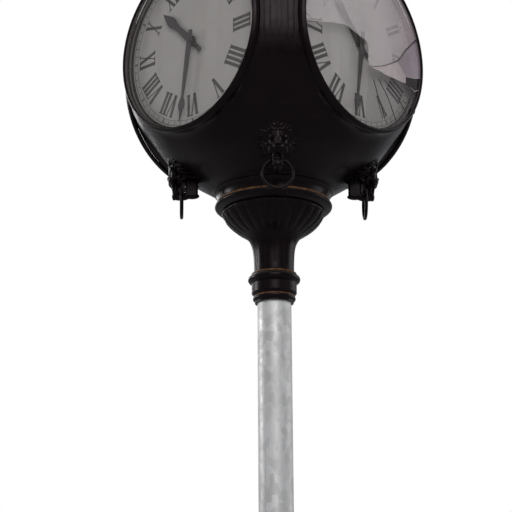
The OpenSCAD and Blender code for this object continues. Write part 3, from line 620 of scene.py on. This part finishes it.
# small bead moulding round the top of the bowl
B = Build()
for k in range(72):
    a = 2 * math.pi * k / 72
    v, f, i = lathe_data(smooth_profile([(0, -3.4), (2.4, -2.4), (3.4, 0), (2.4, 2.4), (0, 3.4)], 1.2), 12)
    B.add(v, f, 0, Matrix.Translation((163.6 * math.cos(a), 163.6 * math.sin(a), -487.6)) @ Matrix.Rotation(a, 4, "Z"))
B.make("bowl_beads", [PAINT], M=ZH, slot="black_paint")
lathe("collar_cast", [(54.6, -683.4, "c"), (64.5, -683.4, "c"), (69, -684.2), (71.6, -685.8, "cg"), (72.8, -688.0, "g"), (71.6, -690.4, "c"), (72.6, -691.6), (75.2, -694.4, "c"), (77.6, -695.4), (81.8, -699.4), (83.4, -705.4), (82.4, -711), (78.6, -715.4), (75.0, -717.4, "c"),
      (72.6, -718.6), (71.9, -722, "c"), (71.9, -750.4, "c"), (70.6, -752.4), (67.2, -756, "c"), (65.2, -759.2, "cg"), (66.2, -761.0, "g"), (65.6, -763.0, "c"), (67.2, -764.6), (68.0, -768.4), (67.0, -773.0), (63.4, -776.6, "c"), (62.0, -777.6), (61.8, -782.8, "c"), (54.6, -782.8, "c"), (54.6, -683.4)],
      "clock", ZH, 144, 1.4, replaces=["pole_collar"], slot="black_paint")
ztop = H / MM - 505
lathe("pole_tube", [(49, 20, "c"), (54, 20, "c"), (54, ztop, "c"), (49, ztop, "c"), (49, 20)], "clock", None, 96, 60, mats=[POLE, POLE], replaces=["pole"], slot="pole_metal")

# ------------------------------------------------------------------ crown
def dome_mod(r, z, a):
    w = max(0.0, 1 - abs((z - 504) / 46.0) ** 4)
    return r - 4.0 * w * (1 - np.abs(np.cos(a * 10)) ** 0.5)
lathe("dome_cast", [(0, 574.8, "c"), (53.4, 574.8, "c"), (56.6, 573.0), (57.8, 569.4), (57.4, 565.0, "cg"), (58.6, 563, "g"), (59.4, 560.6, "c"), (64, 555.8), (78, 547.6), (104, 537.6), (140, 521.6), (172, 501.6), (197.6, 477.6), (213.6, 455.6), (221, 445, "c"),
      (226, 443.4), (233, 441.6), (238.4, 438.0, "c"), (241.4, 435.6, "g"), (245.4, 433.6, "c"), (248.6, 429.6), (249.6, 425), (248.6, 420.4), (245.8, 417.6, "c"), (200, 417.6, "c"), (190, 417.6, "c"), (0, 470)],
      "clock", ZH, 240, 2.4, mod=dome_mod, replaces=["dome_cap"], slot="black_paint")
lathe("finial_cast", [(0, 575.4, "c"), (43.6, 575.4, "c"), (48.6, 578.4), (50, 583), (47.6, 588.4, "cg"), (45.4, 590, "g"), (42, 591.6, "c"), (34, 595.4), (27, 601), (22, 608), (20.8, 614, "c"), (23.6, 617), (24.6, 620.4), (23.4, 623.6, "c"), (32, 628), (41, 636), (46.6, 647), (47.8, 658), (45.4, 670), (38.6, 682), (29, 691.6),
      (19.6, 698.8), (14.2, 704.6), (13.2, 708.4, "cg"), (17.4, 711.2, "g"), (18.6, 716, "g"), (16.8, 720.4, "c"), (12.6, 724.6), (10.0, 735), (8.2, 750), (5.4, 775), (2.8, 794), (0, 801.6)],
      "clock", ZH, 96, 1.8, mod=lambda r, z, a: r - (3.0 * max(0.0, 1 - abs((z - 656) / 30.0) ** 4) * (1 - np.abs(np.cos(a * 6)) ** 0.5)), replaces=["finial"], slot="black_paint")

# ------------------------------------------------------------------ lion masks
def lion_mesh():
    bm = bmesh.new()
    def ell(c, r, rot=None, sub=3):
        M = Matrix.Translation(Vector(c) * MM)
        if rot is not None: M = M @ rot
        M = M @ Matrix.Diagonal((r[0] * MM, r[1] * MM, r[2] * MM, 1))
        bmesh.ops.create_icosphere(bm, subdivisions=sub, radius=1.0, matrix=M)
    def cap(p, q, r0, r1, n=6):
        for i in range(n + 1):
            t = i / n; c = [p[k] + (q[k] - p[k]) * t for k in range(3)]; r = r0 + (r1 - r0) * t
            ell(c, (r, r, r), sub=2)
    RX = lambda d: Matrix.Rotation(math.radians(d), 4, "X")
    ell((306, 0, -326), (42, 38, 42))                      # skull
    ell((334, 0, -310), (17, 21, 17))                      # forehead
    for s in (-1, 1):
        ell((347, s * 13.5, -321), (7, 13, 4.6), RX(s * 20))    # brow ridge
        ell((343.5, s * 14.5, -331.5), (6.4, 7.2, 5.0), RX(s * 12))  # eye
        ell((341.5, s * 15, -338.5), (6.5, 9.5, 3.2), RX(s * 14))  # lower lid
        ell((334, s * 25, -344), (12, 10, 9))              # cheekbone
        ell((322, s * 26, -360), (17, 14, 20))             # cheek
        ell((335.5, s * 13.6, -377), (17.0, 15.6, 15.0))   # whisker pad
        ell((330, s * 22, -386), (11, 9, 10))              # corner of the lip
        for w in range(3): cap((349 - w * 2.0, s * (9 + w * 5.5), -377 - w * 3.2), (346 - w * 3.0, s * (13 + w * 6.5), -380 - w * 3.6), 2.6, 1.8, 2)
        ell((324, s * 36, -300), (8, 9.5, 11), RX(s * -25))     # ear
        ell((331, s * 35, -299), (3, 5, 6.5), RX(s * -25))
        cap((341.5, s * 6.4, -324), (343.5, s * 8.4, -358), 5.4, 6.2)  # bridge edges
    ell((341, 0, -341), (9.5, 12.0, 24))                   # nose bridge
    ell((350.5, 0, -365.5), (7, 11.5, 6.2))                # nose leather
    for s in (-1, 1): ell((353, s * 7.5, -367), (4.6, 4.8, 4.6))
    ell((327, 0, -388), (12, 16, 5.5))                     # upper lip
    # lower jaw with a tuft, and the lug that holds the ring
    ell((301, 0, -430), (29, 14.5, 9.5)); ell((283.5, 0, -425), (13, 14.5, 11.5))   # chin, carried back under the lug
    ell((264, 0, -425), (25, 14.0, 9.5))                   # foot of the bracket against the case
    ell((312, 0, -419), (12, 13.5, 8.5)); ell((321, 0, -426), (13, 16.0, 11)); ell((323, 0, -432), (9, 12, 7))
    for a in range(5): cap((325, (a - 2) * 5.2, -424), (324 - abs(a - 2), (a - 2) * 5.6, -437.5 + abs(a - 2) * 1.5), 4.4, 2.2, 4)
    for s in (-1, 1):                                      # lips and hair down each side of the open mouth
        cap((332, s * 12.5, -388), (325, s * 12.0, -419), 5.6, 5.0, 8)
        cap((318, s * 13.5, -386), (318, s * 12.5, -420), 5.0, 4.6, 8)
        cap((311, s * 11, -386), (311.5, s * 11, -421), 4.0, 4.0, 8)
        cap((279, s * 9, -352), (280.5, s * 9, -422), 7.0, 5.5, 12)
        for k in range(4): cap((251 + k * 7.5, s * 7.2, -374 + k * 5), (251 + k * 7.5, s * 7.2, -423), 7.6, 7.0, 12)
        for k in range(3): cap((311 - k * 3, s * (24 + k * 8), -372), (307 - k * 3, s * (23 + k * 7), -390 + k * 3), 7.5, 4.0, 4)
    # locks of the mane, three rows fanning out from the face
    rnd = random.Random(7)
    for row, (r0, r1, n, th, dz) in enumerate(((30, 46, 15, 6.6, 13), (38, 55, 18, 6.4, 7), (45, 61, 22, 5.6, 3))):
        for k in range(n):
            a = -132 + 264 * k / (n - 1) + rnd.uniform(-2.5, 2.5)
            ca, sa = math.cos(math.radians(a)), math.sin(math.radians(a))
            prev = None
            curl = rnd.uniform(-7, 7)
            for j in range(6):
                t = j / 5.0; rr = r0 + (r1 - r0) * t; aa = a + curl * math.sin(t * 2.6) * (1 if a >= 0 else -1)
                ca, sa = math.cos(math.radians(aa)), math.sin(math.radians(aa))
                ty, z = rr * sa, -336 + rr * ca * 0.98
                surf = math.sqrt(max(1.0, float(globe_r(z)) ** 2 - ty * ty))
                inner = 318 - 10 * (1 - ca)
                o = max(surf - 1.0 + dz * (1 - t) * 0.9 + 2.2 * math.sin(t * math.pi), inner * (1 - t) + (surf) * t)
                if z < -404: continue
                ell((o, ty, z), (th * (1 - 0.5 * t) + 0.6, th * (1 - 0.42 * t), th * (1 - 0.42 * t)), sub=2)
    me = bpy.data.meshes.new("lion_src"); bm.to_mesh(me); bm.free()
    o = bpy.data.objects.new("lion_src", me); bpy.context.scene.collection.objects.link(o)
    md = o.modifiers.new("r", "REMESH"); md.mode = "VOXEL"; md.voxel_size = 0.00150; md.adaptivity = 0
    sm = o.modifiers.new("s", "SMOOTH"); sm.factor = 0.5; sm.iterations = 5
    dg = bpy.context.evaluated_depsgraph_get(); dg.update()
    e = o.evaluated_get(dg); m2 = bpy.data.meshes.new_from_object(e)
    v = np.zeros(len(m2.vertices) * 3); m2.vertices.foreach_get("co", v); v = v.reshape(-1, 3) / MM
    v[:, 0] = np.where(v[:, 0] > 320, 320 + (v[:, 0] - 320) * 0.66, v[:, 0])  # low relief, as on the casting
    f = [tuple(p.vertices) for p in m2.polygons]
    bpy.data.objects.remove(o)
    return v, f
LV, LF = lion_mesh()
# the lug across the mouth that holds the ring
LUG = Build()
pts = [(286, -372), (309.5, -372), (309.6, -398)] + [(297 + 12.6 * math.cos(math.radians(a)), -403 + 12.6 * math.sin(math.radians(a))) for a in range(20, -201, -20)] + [(286, -396)]
pts = [(p[0], p[1]) for p in pts][::-1]
LUG.prism(pts, -5.6, 5.6)
LM = Matrix(((1, 0, 0, 0), (0, 0, -1, 0), (0, 1, 0, 0), (0, 0, 0, 1)))
for c in CORNER:
    B = Build(); B.add(LV.tolist(), LF)
    B.add(LUG.v, LUG.f, 0, LM)
    B.make("lion_mask_" + c, [PAINT], "clock", CORNER[c], replaces=["lion_masks"], slot="black_paint", autosmooth=60)
    # ring pull: round bar
    n, m = 96, 20; v = []
    for i in range(n):
        a = 2 * math.pi * i / n
        for j in range(m):
            b = 2 * math.pi * j / m
            rb = 5.35
            rr = 46.5 + rb * math.cos(b)
            v.append((297 + rb * math.sin(b), rr * math.sin(a), -449.5 + rr * math.cos(a)))
    f = [(i * m + j, i * m + (j + 1) % m, ((i + 1) % n) * m + (j + 1) % m, ((i + 1) % n) * m + j) for i in range(n) for j in range(m)]
    make("ring_pull_" + c, v, f, [PAINT], "ring_" + c, CORNER[c], replaces=["lion_ring_" + c], slot="black_paint")

# ------------------------------------------------------------------ pedestal dressing
def gold_bead(name, r, z, h=2.6, w=1.2):
    lathe(name, [(r - 2, z - h, "c"), (r, z - h * 0.9, "cg"), (r + w, z, "g"), (r, z + h * 0.9, "c"), (r - 2, z + h, "c")], "clock", None, 160, 0.8, slot="black_paint")
gold_bead("pin_line_foot", 222.2, 58); gold_bead("pin_line_torus", 176.2, 172, 3.2, 0.9)
gold_bead("pin_line_shoulder", 156.2, 654, 3.0, 1.0); gold_bead("pin_line_cornice", 172.2, 680, 3.0, 0.9); gold_bead("pin_line_top", 92.2, 934, 3.0, 1.0)
# leaf flutes on the tapered shoulder above the door
B = Build()
for k in range(16):
    a0 = 2 * math.pi * k / 16
    rows = []
    for t in np.linspace(0, 1, 14):
        z = 738 + t * 150
        rr = float(np.interp(z, [704, 730, 770, 820, 880, 916], [150, 128, 110, 98, 90, 86]))
        half = (0.155 * (1 - t) ** 0.5 + 0.012) * (0.35 + 0.65 * min(1, t * 6))
        rows.append([( (rr + 4.2 * (1 - u * u) ** 0.6 * min(1, t * 8) * (1 - 0.55 * t) - 0.6) * math.cos(a0 + u * half), (rr + 4.2 * (1 - u * u) ** 0.6 * min(1, t * 8) * (1 - 0.55 * t) - 0.6) * math.sin(a0 + u * half), z) for u in np.linspace(-1, 1, 9)])
    n = 9; v = [p for r in rows for p in r]
    f = [(i * n + j, i * n + j + 1, (i + 1) * n + j + 1, (i + 1) * n + j) for i in range(len(rows) - 1) for j in range(n - 1)]
    B.add(v, f)
B.make("shoulder_leaves", [PAINT], slot="black_paint")
# vertical reeds round the pedestal drum, leaving the door and its hinges clear
B = Build()
for k in range(36):
    a = math.radians(10 * k + 5 - 90)
    d = (math.degrees(a) + 90 + 180) % 360 - 180
    if -38 < d < 30: continue
    rows = []
    for t in np.linspace(0, 1, 16):
        z = 236 + t * 380
        e = min(1, math.sqrt(max(0, 1 - (abs(t - 0.5) * 2) ** 14)) * 1.0)
        rows.append([(149.4 + 4.6 * e * math.sqrt(max(0, 1 - u * u)) , u * 7.2 * max(0.15, e), z) for u in np.linspace(-1, 1, 9)])
    n = 9; v = [p for r in rows for p in r]
    f = [(i * n + j, i * n + j + 1, (i + 1) * n + j + 1, (i + 1) * n + j) for i in range(len(rows) - 1) for j in range(n - 1)]
    B.add(v, f, 0, Matrix.Rotation(a, 4, "Z"))
B.make("pedestal_reeds", [PAINT], slot="black_paint")

# ------------------------------------------------------------------ finishes of the CAD nodes that stay
def paint_node(n, m):
    o = nodes[n]; o.data.materials.clear(); o.data.materials.append(m)
keep = {"base_casting": PAINT, "base_door": PAINT, "foot_plate": STEEL, "door_lock": BRASS, "door_hinge_pins": STEEL, "collar_setscrews": PAINT,
        "neck_bolts": STEEL, "bezel_hinge_pins": STEEL, "movement_frames": STEEL, "movement_motors": DARKSTEEL, "movement_bushes": BRASS,
        "centre_frame": STEEL, "led_panels": LED, "control_box": BOXP}
for s in SIDES:
    keep["minute_arbor_" + s] = STEEL; keep["idler_wheel_" + s] = BRASS; keep["hour_wheel_" + s] = BRASS
for n, m in keep.items(): paint_node(n, m)

# ------------------------------------------------------------------ stage, light, camera
def stage():
    me = bpy.data.meshes.new("floor"); s = 30.0
    me.from_pydata([(-s, -s, 0), (s, -s, 0), (s, s, 0), (-s, s, 0)], [], [(0, 1, 2, 3)])
    o = bpy.data.objects.new("floor", me); bpy.context.scene.collection.objects.link(o)
    m, nt, p = mat_new("floor_matt"); t = NT(nt)
    t.link(t.ramp(t.noise(0.6, 3, 0.5), [(0.3, (0.50, 0.50, 0.50)), (0.7, (0.54, 0.54, 0.54))]), p.inputs["Base Color"])
    p.inputs["Roughness"].default_value = 0.9
    me.materials.append(m)
stage()
w = bpy.data.worlds.new("studio"); bpy.context.scene.world = w; w.use_nodes = True
nt = w.node_tree
for n in list(nt.nodes): nt.nodes.remove(n)
out = nt.nodes.new("ShaderNodeOutputWorld"); lit = nt.nodes.new("ShaderNodeBackground"); seen = nt.nodes.new("ShaderNodeBackground")
lp = nt.nodes.new("ShaderNodeLightPath"); mx = nt.nodes.new("ShaderNodeMixShader")
lit.inputs[0].default_value = (0.94, 0.95, 1.0, 1); lit.inputs[1].default_value = 0.40
seen.inputs[0].default_value = (1, 1, 1, 1); seen.inputs[1].default_value = 1.0
nt.links.new(lp.outputs["Is Camera Ray"], mx.inputs[0]); nt.links.new(lit.outputs[0], mx.inputs[1]); nt.links.new(seen.outputs[0], mx.inputs[2])
nt.links.new(mx.outputs[0], out.inputs[0])
def area(name, loc, target, size, power, col=(1, 1, 1)):
    l = bpy.data.lights.new(name, "AREA"); l.energy = power; l.size = size; l.color = col
    o = bpy.data.objects.new(name, l); bpy.context.scene.collection.objects.link(o)
    o.location = loc; o.rotation_euler = (Vector(target) - Vector(loc)).to_track_quat("-Z", "Y").to_euler()
area("key_soft", (-5.5, -6.0, 7.5), (0, 0, 3.2), 5.0, 420)
area("fill_soft", (6.5, -3.5, 5.0), (0, 0, 3.0), 5.0, 115)
area("back_soft", (2.0, 7.0, 7.0), (0, 0, 3.0), 5.0, 200)
area("side_soft", (-4.6, 9.0, 5.6), (0, 0, 3.4), 2.2, 260)

R = 0.300
def row(v): c = math.sqrt(0.5); return Vector((v[0] * c + v[1] * c, -v[0] * c + v[1] * c, v[2]))
az, D, zc, p, roll, f = -0.046, 15.05, -6.46, 0.278, -0.009, 1467.0
C = (math.sin(az) * D * R, -math.cos(az) * D * R, zc * R)
fwd = Vector((-math.sin(az) * math.cos(p), math.cos(az) * math.cos(p), math.sin(p)))
right = Vector((math.cos(az), math.sin(az), 0)); upv = right.cross(fwd)
r2 = right * math.cos(roll) + upv * math.sin(roll); u2 = -right * math.sin(roll) + upv * math.cos(roll)
# turn the camera a little instead of shifting the lens
axis = (fwd + r2 * ((256 - 274.0) / f) - u2 * ((256 - 263.3) / f)).normalized()
r3 = (r2 - axis * r2.dot(axis)).normalized(); u3 = r3.cross(axis)
cam = bpy.data.cameras.new("camera"); co = bpy.data.objects.new("camera", cam); bpy.context.scene.collection.objects.link(co)
X, Y, Z = row(r3), row(u3), -row(axis)
co.matrix_world = Matrix(((X.x, Y.x, Z.x, 0), (X.y, Y.y, Z.y, 0), (X.z, Y.z, Z.z, 0), (0, 0, 0, 1)))
co.location = row(C) + Vector((0, 0, H))
cam.sensor_width = 36; cam.lens = f / 512 * 36; cam.clip_end = 200; cam.clip_start = 0.05
bpy.context.scene.camera = co
bpy.context.scene.view_settings.view_transform = "Standard"
